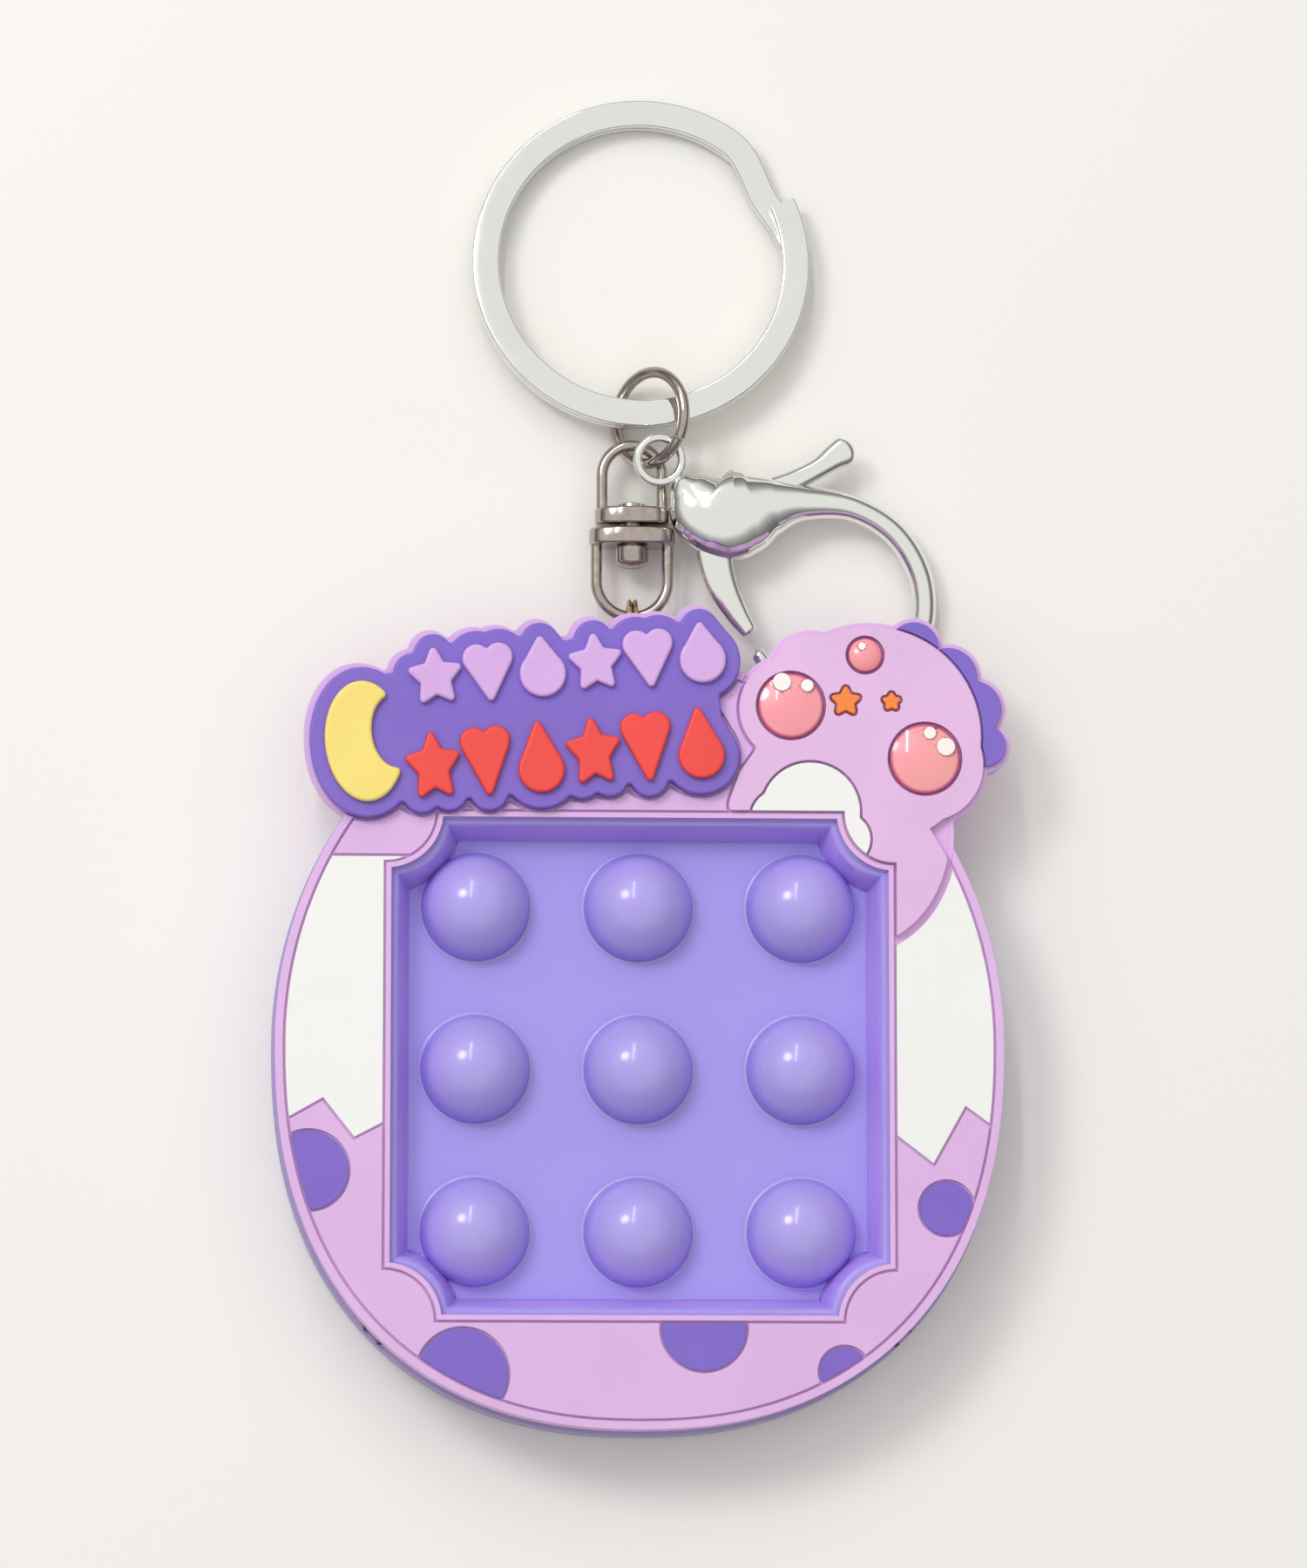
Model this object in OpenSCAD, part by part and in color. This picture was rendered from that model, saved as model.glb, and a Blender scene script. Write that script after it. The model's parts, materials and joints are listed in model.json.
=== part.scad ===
// Push-pop bubble keychain in the outline of a pocket pet game: a soft PVC body with a silicone mat
// of nine press-through bubbles, a raised sign, a puffy cloud badge, and a chain of split ring, jump
// ring, swivel and lobster clasp. It lies on its back: +X right, +Y towards the split ring, +Z up.
// The origin is on the surface it lies on, under the middle of the bubble window.

/* [Body] */
// Half of the body's greatest width
body_half_w = 31.6; // [29:0.1:38]
// From the widest line up to the top of the body
body_top_h = 33.8; // [31:0.1:40]
// From the widest line down to the bottom of the body
body_bottom_h = 33.4; // [29:0.1:40]
// Height of the widest line above the middle of the window
body_wide_y = 2; // [0:0.1:4]
// Fullness of the lower half: 2 is an ellipse, more is squarer
body_fullness = 2.3; // [2:0.05:2.6]
// Thickness of the back frame
back_t = 5; // [4.4:0.1:7]
// Thickness of the front frame under its colour fills
front_t = 4; // [3.2:0.1:6]
// How far the back frame stands out past the front frame
back_lip = 0.35; // [0.1:0.05:1]
// Width of the raised edge round the front
edge_w = 0.7; // [0.4:0.1:1.5]
// Height of the raised edge above the floor that the fills lie on
edge_h = 0.45; // [0.3:0.05:1.2]
// Width of the engraved line left between two colours
line_w = 0.22; // [0.1:0.02:0.5]

/* [Bubble window] */
// Half of the window's side
window_half = 21.6; // [20:0.1:23]
// Radius of the bite out of each window corner
bite_r = 5; // [3:0.1:7]
// Width of the raised rim round the window
rim_w = 0.45; // [0.3:0.05:1.5]
// Half of the open square in the back frame
back_open_half = 19.6; // [18.5:0.1:20.5]
// Thickness of the silicone sheet
sheet_t = 0.8; // [0.6:0.1:1.2]
// Half of the mat's flat floor
floor_half = 20.05; // [19:0.05:21]
// How far the mat's gripped flange reaches past the window
flange_w = 2; // [1:0.1:3]
// Distance between two bubbles
bubble_pitch = 14.2; // [12.5:0.1:14.5]
// Outer radius of a bubble
bubble_r = 4.75; // [4:0.05:5]
// Height of a bubble above the mat's floor
bubble_h = 4.5; // [3.5:0.1:4.7]
// Wall thickness of a bubble
bubble_wall = 0.85; // [0.6:0.05:1.2]
// Radius of the crown that snaps through
crown_r = 2.6; // [2:0.1:3]
// Gap round a crown
crown_gap = 0.1; // [0.05:0.01:0.1]

/* [Sign and badge] */
// Height of the underside of the sign and badge where they stand out past the body
overhang_z = 6.2; // [5.8:0.1:7.5]
// Thickness of the sign's purple face
sign_face_t = 1.5; // [0.8:0.1:2.5]
// Height of the shapes on the sign
shape_t = 0.7; // [0.4:0.1:1.2]
// Border between a shape and the edge of the sign's face
sign_border = 1.3; // [1.1:0.05:2.5]
// How far the badge's lilac base shows past its fill
base_border = 0.45; // [0.3:0.05:1]
// How much wider than the sign's face its lilac base is, all round
sign_base_border = 0.25; // [0.1:0.05:1]
// How far the sign's base is set up and to the left of its face
sign_base_shift = 0.28; // [0:0.02:0.5]
// Height of the lip that the bases have round the sign and the badge
lip_h = 0.1; // [0.04:0.02:0.3]
// Slope of the sign's rows in degrees
sign_tilt = 5.5; // [0:0.5:10]
// Width of a small shape
shape_w = 4.4; // [3.6:0.1:5]
// Height of a small shape in the upper row
shape_h = 5.1; // [4.6:0.1:6.4]
// Height of a small shape in the lower row
low_shape_h = 6.2; // [5:0.1:7]
// Distance between two small shapes
shape_pitch = 4.66; // [4.6:0.02:5.4]
// Distance between the two rows
row_gap = 7.8; // [6.8:0.1:8]
// How far the lower row is set to the left
low_row_shift = 0.9; // [0:0.1:1.5]
// Thickness of the badge's fill above the floor of the fills
badge_t = 0.8; // [0.6:0.1:1.4]
// Height of the glossy balls above the badge's fill
ball_rise = 0.5; // [0.2:0.1:1]

/* [Chain] */
// Height of the chain's axis when it lies flat
chain_z = 2.85; // [2.85:0.05:3]
// Distance of the chain's axis from the middle
chain_x = -0.45; // [-2:0.05:2]
// How far the middle of the tab's hole lies past the top of the body
tab_out = 1.05; // [0.4:0.05:1.2]
// Radius of the hole in the tab
tab_hole_r = 0.85; // [0.75:0.05:1]
// Wall round the hole in the tab
tab_wall = 1.1; // [0.9:0.05:1.2]
// Thickness of the tab
tab_t = 1.4; // [1:0.1:1.6]
// Wire of the tab ring
tab_wire = 1; // [0.8:0.05:1.1]
// Radius of the tab ring at the middle of its wire
tab_ring_r = 2.3; // [2.25:0.05:2.35]
// Wire of the swivel's two loops
loop_wire = 1; // [0.8:0.05:1.1]
// Half width of the swivel's lower loop at the middle of its wire
lower_half_w = 3.15; // [3:0.05:3.3]
// Half width of the swivel's upper loop at the middle of its wire
upper_half_w = 2.65; // [2.5:0.05:2.8]
// Thickness of each swivel plate
plate_t = 1.5; // [1.2:0.1:1.7]
// Depth of the swivel plates
plate_depth = 4.4; // [3.6:0.1:5]
// Running gap between the two plates
plate_gap = 0.3; // [0.2:0.05:0.4]
// Radius of the swivel's rivet
rivet_r = 1; // [0.8:0.05:1.1]
// Radius of the rivet's head
rivet_head_r = 1.45; // [1.3:0.05:1.6]
// Clearance round the rivet
rivet_gap = 0.05; // [0.02:0.01:0.1]
// Wire of the jump ring
jump_wire = 1; // [0.8:0.05:1.1]
// Radius of the jump ring at the middle of its wire
jump_r = 4.1; // [4:0.05:4.3]
// Tilt of the jump ring's plane in degrees
jump_tilt = 46; // [42:1:50]
// Outer radius of the split ring
split_r = 15; // [13:0.1:17]
// Width of the split ring's flat wire
split_w = 2.4; // [2:0.1:2.6]
// Thickness of one coil of the split ring
split_t = 0.93; // [0.7:0.01:1]

/* [Clasp] */
// Outer radius of the clasp's eye
eye_r = 2.35; // [2.2:0.05:2.5]
// Radius of the hole in the clasp's eye
eye_hole_r = 1.6; // [1.5:0.05:1.7]
// Thickness of the clasp's eye
eye_t = 1.2; // [1:0.1:1.3]
// Radius of the hook at the middle of its wire
hook_r = 8.9; // [8.5:0.1:9]
// How far the clasp leans down from its eye to the table, in degrees
clasp_lean = 6.5; // [5.5:0.1:7]
// Thickness of the lever
lever_t = 1.7; // [1.2:0.1:2]
// Radius of the lever's pin
pin_r = 0.6; // [0.4:0.05:0.8]
// Clearance between the pin and the lever
pin_gap = 0.05; // [0.02:0.01:0.1]
// How far the lever turns, in degrees
lever_turn = 20; // [10:1:22]

/* [Hidden] */

lilac = "#e0b8e8";
purple = "#8469cd";
mat_purple = "#a596e8";
white_pvc = "#f6f6f2";
steel = "#c9ccc8";
nickel = "#8f8a86";

fill_z = back_t + front_t;          // floor that the colour fills lie on
edge_z = fill_z + edge_h;           // top of the raised edge
fill_t = edge_h - 0.05;             // fills stop just under the edge
sign_z = fill_z + sign_face_t;      // top of the sign's face
badge_z = fill_z + badge_t;         // top of the badge's fill
mat_z = back_t;                     // top of the mat's floor
flange_half = window_half + flange_w;
flange_gap = 0.1;
body_top_y = body_wide_y + body_top_h;
smooth = 48;                        // facets of a small round outline

// ---------- outlines ----------

function signed_power(v, p) = sign(v) * pow(abs(v), p);

// Egg outline: an ellipse above its widest line and a superellipse below it, grown by `out`.
function egg_points(out) = [
  for (i = [0 : 143])
    let (a = i * 2.5, lower = sin(a) < 0, p = lower ? 2 / body_fullness : 1,
         h = lower ? body_bottom_h : body_top_h)
      [(body_half_w + out) * signed_power(cos(a), p),
       body_wide_y + (h + out) * signed_power(sin(a), p)]
];

module egg(out = 0) { polygon(egg_points(out)); }

// Square with a round bite out of each corner, grown by `out`.
module bitten_square(half, bite, out = 0) {
  shoulder = bite * 0.9;
  difference() {
    square(2 * (half + out), center = true);
    for (sx = [-1, 1], sy = [-1, 1])
      translate([sx * (half + 0.1 * bite), sy * (half + 0.1 * bite)])
        circle(r = bite - out, $fn = 64);
  }
}

module window(out = 0) { bitten_square(window_half, bite_r, out); }

// Everything between the raised edge and the window's rim, where colours are poured.
module fill_area() {
  difference() {
    egg(-edge_w - line_w);
    window(rim_w + line_w);
  }
}

// ---------- shapes on the sign ----------

function star_points(w, h, points, waist) = [
  for (i = [0 : 2 * points - 1])
    let (a = 90 + i * 180 / points, k = i % 2 == 0 ? 1 : waist)
      [k * w / 2 * cos(a), k * h / 2 * sin(a)]
];

// Fills sharp inner corners with a small radius.
module fill_notches(r) { offset(r = -r, $fn = 24) offset(delta = r) children(); }

// Rounds sharp outer corners, and fills the inner ones.
module round_corners(r) { fill_notches(0.2) offset(r = r, $fn = 24) offset(delta = -r) children(); }

module star(w, h) { round_corners(0.35) polygon(star_points(w + 1.1, h + 1, 5, 0.52)); }

// Heart: two lobes and a wedge down to a rounded tip.
module heart(w, h) {
  lobe = w * 0.28;
  side = w / 2 - 0.05;
  shoulder = h / 2 - lobe * 1.35;
  round_corners(0.35) {
    for (s = [-1, 1]) translate([s * (w / 2 - lobe), h / 2 - lobe]) circle(r = lobe, $fn = 36);
    polygon([[-side, shoulder], [0, -h / 2 - 0.3], [side, shoulder], [0, h / 2 - lobe * 0.6]]);
  }
}

// Drop with its round end down and a rounded tip.
module drop(w, h) {
  round_corners(0.35) {
    translate([0, -h / 2 + w * 0.46]) circle(r = w * 0.46, $fn = 48);
    polygon([[-w * 0.415, -h / 2 + w * 0.65], [0, h / 2 + 0.5], [w * 0.415, -h / 2 + w * 0.65]]);
  }
}

module moon(w, h) {
  round_corners(0.4)
    difference() {
      scale([w / h, 1]) circle(d = h, $fn = 64);
      translate([w * 0.4, h * 0.06]) scale([w / h, 1]) circle(d = h * 0.6, $fn = 64);
    }
}

module small_shape(kind, h) {
  if (kind == 0) star(shape_w, h);
  if (kind == 1) heart(shape_w, h);
  if (kind == 2) drop(shape_w, h);
}

sign_row_start = [-17.9, body_top_y - 2.2];   // middle of the first shape of the upper row
moon_at = [-24, body_top_y - 7.85];
moon_size = [6.9, 10.6];

// The six shapes of a row; row 0 is the upper one.
module sign_row(row) {
  for (i = [0 : 5])
    translate(sign_row_start)
      rotate(sign_tilt)
        translate([i * shape_pitch - row * low_row_shift, -row * row_gap])
          small_shape(i % 3, row == 0 ? shape_h : low_shape_h);
}

module sign_moon_shape() {
  translate(moon_at) rotate(sign_tilt) moon(moon_size[0], moon_size[1]);
}

// The sign's outline follows its shapes at a distance, so that its edge is scalloped.
module sign_outline(out = 0) {
  fill_notches(0.3) {
    offset(r = sign_border + out, $fn = 32) {
      sign_row(0);
      sign_row(1);
      sign_moon_shape();
    }
    translate(sign_row_start)
      rotate(sign_tilt)
        translate([-5.6, -row_gap - 1.6])
          square([5 * shape_pitch + 6.8, row_gap + 2.4]);
  }
}

// The lilac base that the sign's face lies on, set a little up and to the left of it.
module sign_base(out = 0) {
  fill_notches(0.3) {
    sign_outline(out);
    translate([-sign_base_shift, sign_base_shift]) sign_outline(sign_base_border + out);
  }
}

// ---------- the cloud badge ----------

// Places on the badge: [x, height above the top of the body, radius or size].
function on_badge(list) = [for (l = list) [l[0], body_top_y + l[1], l[2]]];
cloud_lobes = on_badge([[20.1, -6.9, 9.6], [13.2, -4.6, 4.6], [24.9, -9.4, 5], [14.9, -1.6, 3.6]]);
ridge_lobes = on_badge([[23.9, 1, 2.15], [26.9, -1.6, 2.5], [29.1, -4.4, 2.4], [30.1, -7.7, 1.8]]);
ball_places = on_badge([[13.1, -4.3, 2.85], [24.8, -8.9, 3.05], [19.6, 0.2, 1.5]]);
glint_places = on_badge([[12.3, -2.3, 0.8], [14.5, -2.6, 0.55], [25.2, -6.7, 0.55],
                         [26.6, -7.9, 0.8], [19.3, 0.9, 0.35]]);
star_places = on_badge([[17.9, -3.9, 3.1], [21.9, -3.9, 2.1]]);

module lobes(list, out = 0) {
  for (l = list) translate([l[0], l[1]]) circle(r = l[2] + out, $fn = 72);
}

// The puff that hangs from the cloud down the right of the window.
module cloud_tail(out = 0) {
  offset(r = out + 1.2, $fn = 32)
    offset(delta = -1.2)
      union() {
        polygon([[7.2, 21.6], [8.6, 25.6], [11, 29], [18, 32], [26.6, 25], [26.9, 21.4]]);
        intersection() {
          translate([18.8, 20.3]) scale([0.82, 1]) circle(r = 9.9, $fn = 96);
          translate([7, 5]) square([25, 20]);
        }
      }
}

module cloud_outline(out = 0) {
  fill_notches(0.3) {
    lobes(cloud_lobes, out);
    cloud_tail(out);
  }
}

// White puff that shows under the cloud's middle, cut by the window's rim.
module white_puff_outline(out = 0) {
  intersection() {
    fill_notches(0.3) {
      translate([14.8, 22.2]) circle(r = 4.3 + out, $fn = 72);
      translate([12.1, 21.6]) circle(r = 2.5 + out, $fn = 48);
      translate([17.7, 19.8]) circle(r = 2.3 + out, $fn = 48);
    }
    fill_area();
  }
}

// ---------- panels and spots ----------

// Zigzag hem of a white panel: [distance from the middle, height].
panel_out = body_half_w + 1.4;
panel_in = window_half + 0.4;
panel_top_y = 18.1;
left_hem = [[-panel_out, -6.3], [0.5 - body_half_w, -5], [4.2 - body_half_w, -2.9],
            [-window_half - 3.1, -6.3], [-panel_in, -4.9]];
right_hem = [[panel_in, -5.8], [window_half + 3.8, -8.4], [body_half_w - 3.4, -3.4],
             [body_half_w - 0.8, -5.3], [panel_out, -6]];

module white_left(out = 0) {
  intersection() {
    offset(delta = out)
      polygon(concat(left_hem, [[2 - window_half, panel_top_y], [-panel_out, panel_top_y]]));
    egg(-edge_w - line_w + out);
  }
}

module white_right(out = 0) {
  intersection() {
    offset(delta = out)
      polygon(concat(right_hem, [[panel_out, window_half + 2.4], [panel_in, window_half + 2.4]]));
    egg(-edge_w - line_w + out);
  }
}

body_bottom_y = body_wide_y - body_bottom_h;
spot_places = [[3 - body_half_w, -9.2, 3.4], [-15.3, body_bottom_y + 4.7, 3.9],
               [5.5, -window_half - 1.1, 3.65], [17.6, body_bottom_y + 5, 2.1],
               [body_half_w - 5.1, -12.3, 2.3]];

module spots(out = 0) { lobes(spot_places, out); }

// ---------- body pieces ----------

usual_half_w = 31.6;
clasp_room = 0.2 * (body_half_w - usual_half_w);   // a wider body holds the chain off, clear of the clasp
tab_hole_y = body_top_y + tab_out + clasp_room;
tab_ring_y = tab_hole_y + tab_ring_r;
lower_bottom_y = tab_ring_y + tab_ring_r - tab_wire / 2 - loop_wire / 2 - 0.15;
tab_ring_room = 0.35;

module back_frame() {
  color("#9f8fcf") {
    difference() {
      linear_extrude(back_t) egg(back_lip);
      translate([0, 0, -1])
        linear_extrude(back_t + 2)
          square(2 * back_open_half, center = true);
      translate([0, 0, back_t - sheet_t])
        linear_extrude(back_t)
          square(2 * (flange_half + flange_gap), center = true);
      // room for the tab ring to turn in front of the body
      translate([chain_x, tab_ring_y, chain_z])
        rotate([0, 90, 0])
          cylinder(r = tab_ring_r + tab_wire / 2 + tab_ring_room, h = 3.2, center = true, $fn = smooth);
    }
    hanging_tab();
  }
}

// A flat lug with a round hole, half the height of the back frame.
module hanging_tab() {
  difference() {
    translate([chain_x, 0, chain_z - tab_t / 2])
      linear_extrude(tab_t) {
        translate([0, tab_hole_y]) circle(r = tab_hole_r + tab_wall, $fn = smooth);
        translate([-tab_hole_r - tab_wall, tab_hole_y - 3])
          square([2 * (tab_hole_r + tab_wall), 3]);
      }
    translate([chain_x, tab_hole_y, -1]) cylinder(r = tab_hole_r, h = back_t + 2, $fn = smooth);
  }
}

module front_frame() {
  color(lilac) {
    difference() {
      union() {
        translate([0, 0, back_t]) linear_extrude(front_t) egg();
        translate([0, 0, overhang_z])
          linear_extrude(fill_z - overhang_z) {
            sign_base();
            cloud_outline(base_border);
            lobes(ridge_lobes, base_border);
          }
        // low lip of the bases round the sign's face and the badge's fill
        translate([0, 0, fill_z])
          linear_extrude(lip_h) {
            difference() {
              sign_base();
              sign_outline();
            }
            difference() {
              union() {
                cloud_outline(base_border);
                lobes(ridge_lobes, base_border);
              }
              egg(-edge_w);
              cloud_outline();
              lobes(ridge_lobes);
              sign_base(line_w);
            }
          }
        // raised edge round the front, left out where the sign and the badge lie over it
        translate([0, 0, fill_z])
          linear_extrude(edge_h)
            difference() {
              egg();
              egg(-edge_w);
              sign_base();
              cloud_outline(base_border);
              lobes(ridge_lobes, base_border);
            }
        // raised rim round the window
        translate([0, 0, fill_z])
          linear_extrude(edge_h)
            difference() {
              window(rim_w);
              sign_base(line_w);
            }
      }
      translate([0, 0, back_t - 1]) linear_extrude(front_t + 4) window();
    }
  }
}

function bubble_place(i) = [((i % 3) - 1) * bubble_pitch, (1 - floor(i / 3)) * bubble_pitch];
bubble_centre_z = mat_z + bubble_h - bubble_r;

module bubble_shell(r) { translate([0, 0, bubble_centre_z]) sphere(r = r, $fn = 64); }

// Silicone sheet, its sloped sides up to the window's rim, and the fixed skirt of each bubble.
module bubble_mat() {
  side_h = edge_z - mat_z - 0.4;
  color(mat_purple) {
    difference() {
      union() {
        translate([0, 0, mat_z - sheet_t])
          linear_extrude(sheet_t) square(2 * flange_half, center = true);
        for (i = [0 : 8])
          translate(bubble_place(i))
            intersection() {
              bubble_shell(bubble_r);
              translate([0, 0, mat_z - sheet_t / 2]) cylinder(r = bubble_r + 1, h = bubble_r * 2, $fn = 64);
            }
      }
      for (i = [0 : 8])
        translate(bubble_place(i)) {
          bubble_shell(bubble_r - bubble_wall);
          cylinder(r = crown_r + crown_gap, h = mat_z + 2 * bubble_h, $fn = 64);
        }
    }
    translate([0, 0, mat_z])
      difference() {
        linear_extrude(side_h) window(-0.02);
        linear_extrude(side_h + 0.01, scale = (window_half - 0.35) / floor_half)
          bitten_square(floor_half, bite_r * floor_half / window_half);
      }
  }
}

module bubble_crown(i) {
  color(mat_purple)
    translate(bubble_place(i))
      intersection() {
        difference() {
          bubble_shell(bubble_r);
          bubble_shell(bubble_r - bubble_wall);
        }
        translate([0, 0, mat_z]) cylinder(r = crown_r, h = 2 * bubble_h, $fn = 64);
      }
}

// One layer of colour, poured on the floor of the fills.
module poured(colour, t) {
  color(colour) translate([0, 0, fill_z]) linear_extrude(t) children();
}

module lilac_fill() {
  poured(lilac, fill_t)
    difference() {
      fill_area();
      white_left(line_w);
      white_right(line_w);
      spots(line_w);
      sign_base(line_w);
      cloud_outline(line_w);
    }
}

module white_panel_left() {
  poured(white_pvc, fill_t)
    difference() {
      intersection() {
        white_left();
        fill_area();
      }
      sign_base(line_w);
    }
}

module white_panel_right() {
  poured(white_pvc, fill_t)
    difference() {
      intersection() {
        white_right();
        fill_area();
      }
      cloud_outline(base_border + line_w);
    }
}

module purple_spots() {
  poured(purple, fill_t)
    intersection() {
      spots();
      fill_area();
    }
}

module sign_face() { poured(purple, sign_face_t) sign_outline(); }

module on_sign(colour) { color(colour) translate([0, 0, sign_z]) linear_extrude(shape_t) children(); }

module sign_moon() { on_sign("#f3e07a") sign_moon_shape(); }
module sign_lilac_shapes() { on_sign("#d8b2ea") sign_row(0); }
module sign_red_shapes() { on_sign("#f5504a") sign_row(1); }

module cloud_fill() {
  poured(lilac, badge_t)
    difference() {
      intersection() {
        cloud_outline();
        union() {
          lobes(cloud_lobes);
          fill_area();
        }
      }
      window(rim_w + line_w);
      sign_base(line_w);
      white_puff_outline(line_w);
      lobes(ball_places, line_w);
      for (s = star_places) translate([s[0], s[1]]) badge_star(s[2], line_w);
    }
}

module cloud_ridge() {
  poured(purple, badge_t - 0.1)
    difference() {
      lobes(ridge_lobes);
      cloud_outline(line_w);
    }
}

module white_puff() { poured(white_pvc, badge_t - 0.05) white_puff_outline(); }

glint_z = badge_z + 0.1;             // seat that the glints are let into

// Domed discs: a short cylinder under a shallow cap, with a seat for each glint.
module glossy_balls() {
  color("#ff9fa8")
    difference() {
      for (b = ball_places)
        translate([b[0], b[1], fill_z]) {
          cap_r = (b[2] * b[2] + ball_rise * ball_rise) / (2 * ball_rise);
          intersection() {
            cylinder(r = b[2], h = badge_t + ball_rise + 1, $fn = 96);
            translate([0, 0, badge_t + ball_rise - cap_r]) sphere(r = cap_r, $fn = 96);
          }
        }
      translate([0, 0, glint_z]) linear_extrude(2) lobes(glint_places);
    }
}

// Small white beads let into the top of the balls.
module ball_glints() {
  color(white_pvc)
    translate([0, 0, glint_z]) linear_extrude(badge_z + ball_rise + 0.05 - glint_z) lobes(glint_places);
}

module badge_star(size, out = 0) {
  offset(r = out + 0.2, $fn = 16) offset(delta = -0.2) polygon(star_points(size, size, 5, 0.5));
}

module orange_stars() {
  poured("#ff8a30", badge_t + 0.15)
    for (s = star_places) translate([s[0], s[1]]) badge_star(s[2]);
}

// ---------- chain ----------

module torus(r, wire, angle = 360) {
  rotate_extrude(angle = angle, $fn = 96) translate([r, 0]) circle(d = wire, $fn = 32);
}

module tab_ring() {
  color("#c9b48a")
    translate([chain_x, tab_ring_y, chain_z]) rotate([0, 90, 0]) torus(tab_ring_r, tab_wire);
}

lower_arc_y = lower_bottom_y + lower_half_w;
lower_plate_y = lower_arc_y + 3.2;              // underside of the lower plate
upper_plate_y = lower_plate_y + plate_t + plate_gap;
upper_arc_y = upper_plate_y + plate_t + 3.05;
rivet_head_h = 1.8;
rivet_top_h = 0.55;
plate_side = 0.65 * loop_wire;                  // plate past the middle of the loop's wire

// A flat plate of a swivel loop: a disc whose front and back are cut flat, bored for the rivet.
module swivel_plate(y, half_w) {
  translate([chain_x, y, chain_z])
    rotate([-90, 0, 0])
      difference() {
        intersection() {
          cylinder(r = half_w, h = plate_t, $fn = 64);
          cube([2 * half_w + 2, plate_depth, 4 * plate_t], center = true);
        }
        translate([0, 0, -1]) cylinder(r = rivet_r + rivet_gap, h = plate_t + 2, $fn = smooth);
      }
}

// Two straight arms and the arc that joins them. `turn` is 0 for an arc at the top, 180 at the bottom.
module stirrup(arc_y, plate_y, half_w, turn) {
  translate([chain_x, arc_y, chain_z]) {
    rotate(turn) torus(half_w, loop_wire, 180);
    for (s = [-1, 1])
      translate([s * half_w, 0, 0])
        rotate([turn == 0 ? 90 : -90, 0, 0]) cylinder(d = loop_wire, h = abs(arc_y - plate_y), $fn = 32);
  }
}

module swivel_lower_loop() {
  color(nickel) {
    swivel_plate(lower_plate_y, lower_half_w + plate_side);
    stirrup(lower_arc_y, lower_plate_y + plate_t / 2, lower_half_w, 180);
  }
}

module swivel_upper_loop() {
  color(nickel) {
    swivel_plate(upper_plate_y, upper_half_w + plate_side);
    stirrup(upper_arc_y, upper_plate_y + plate_t / 2, upper_half_w, 0);
  }
}

// Shank through both plates, with a head under the lower one and a peened end over the upper one.
module swivel_rivet() {
  top_y = upper_plate_y + plate_t;
  running = 0.1;
  color(nickel)
    translate([chain_x, 0, chain_z])
      rotate([-90, 0, 0]) {
        translate([0, 0, lower_plate_y - running - rivet_head_h])
          cylinder(r = rivet_head_r, h = rivet_head_h, $fn = smooth);
        translate([0, 0, lower_plate_y - running - 0.5])
          cylinder(r = rivet_r, h = top_y - lower_plate_y + running + 0.5, $fn = smooth);
        translate([0, 0, top_y]) cylinder(r = rivet_r + 0.25, h = rivet_top_h, $fn = smooth);
      }
}

upper_top_y = upper_arc_y + upper_half_w;
jump_y = upper_top_y + 2.4;
jump_x = chain_x + 1.55;
jump_z = jump_r * sin(jump_tilt) + jump_wire / 2 + 0.05;

module jump_ring() {
  color(nickel) translate([jump_x, jump_y, jump_z]) rotate([0, -jump_tilt, 0]) torus(jump_r, jump_wire);
}

split_mid_r = split_r - split_w / 2;
split_near_z = 2.9;                              // height of the band inside the jump ring
split_far_z = split_t + 0.1;                     // height of the band where it rests on the table
split_lean = asin((split_near_z - split_far_z) / (2 * split_mid_r));
split_y = jump_y + 0.35 + split_mid_r;
split_x = chain_x + 0.8;

// Height of the coiled wire along its turns: a flat turn, a step down, and a second flat turn.
step_start = 334;
step_end = 358;
coil_end = 698;
coil_pitch = split_t + 0.04;
function coil_height(a) =
  a < step_start ? coil_pitch / 2 :
  a > step_end ? -coil_pitch / 2 :
  let (t = (a - step_start) / (step_end - step_start)) coil_pitch * (0.5 - t * t * (3 - 2 * t));

// Closed tube through rings of points that all have the same number of sides.
module skin(rings) {
  n = len(rings[0]);
  m = len(rings);
  polyhedron(
    points = [for (r = rings) for (p = r) p],
    faces = concat(
      [[for (k = [0 : n - 1]) k]],
      [for (i = [0 : m - 2]) for (k = [0 : n - 1])
        [i * n + k, (i + 1) * n + k, (i + 1) * n + (k + 1) % n, i * n + (k + 1) % n]],
      [[for (k = [n - 1 : -1 : 0]) (m - 1) * n + k]]),
    convexity = 6);
}

module split_ring() {
  steps = 116;
  rings = [
    for (i = [0 : steps])
      let (a = i * coil_end / steps, z = coil_height(a), th = 24 - a)
        [for (c = [[-1, -1], [-1, 1], [1, 1], [1, -1]])
          let (r = split_mid_r + c[0] * split_w / 2)
            [r * cos(th), r * sin(th), z + c[1] * split_t / 2]]
  ];
  color(steel)
    translate([split_x, split_y, (split_near_z + split_far_z) / 2])
      rotate([-split_lean, 0, 0])
        skin(rings);
}

// ---------- clasp, in its own flat frame with the eye's middle at the origin ----------

eye_x = chain_x + 2.35;
eye_y = upper_top_y - 1.55;
eye_z = 4.45;
hook_at = [14.9, -12.5];
pin_at = [5.2, -5];
slot_gap = 0.15;

function on_hook(angle, r) = [hook_at[0] + r * cos(angle), hook_at[1] + r * sin(angle)];

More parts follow.
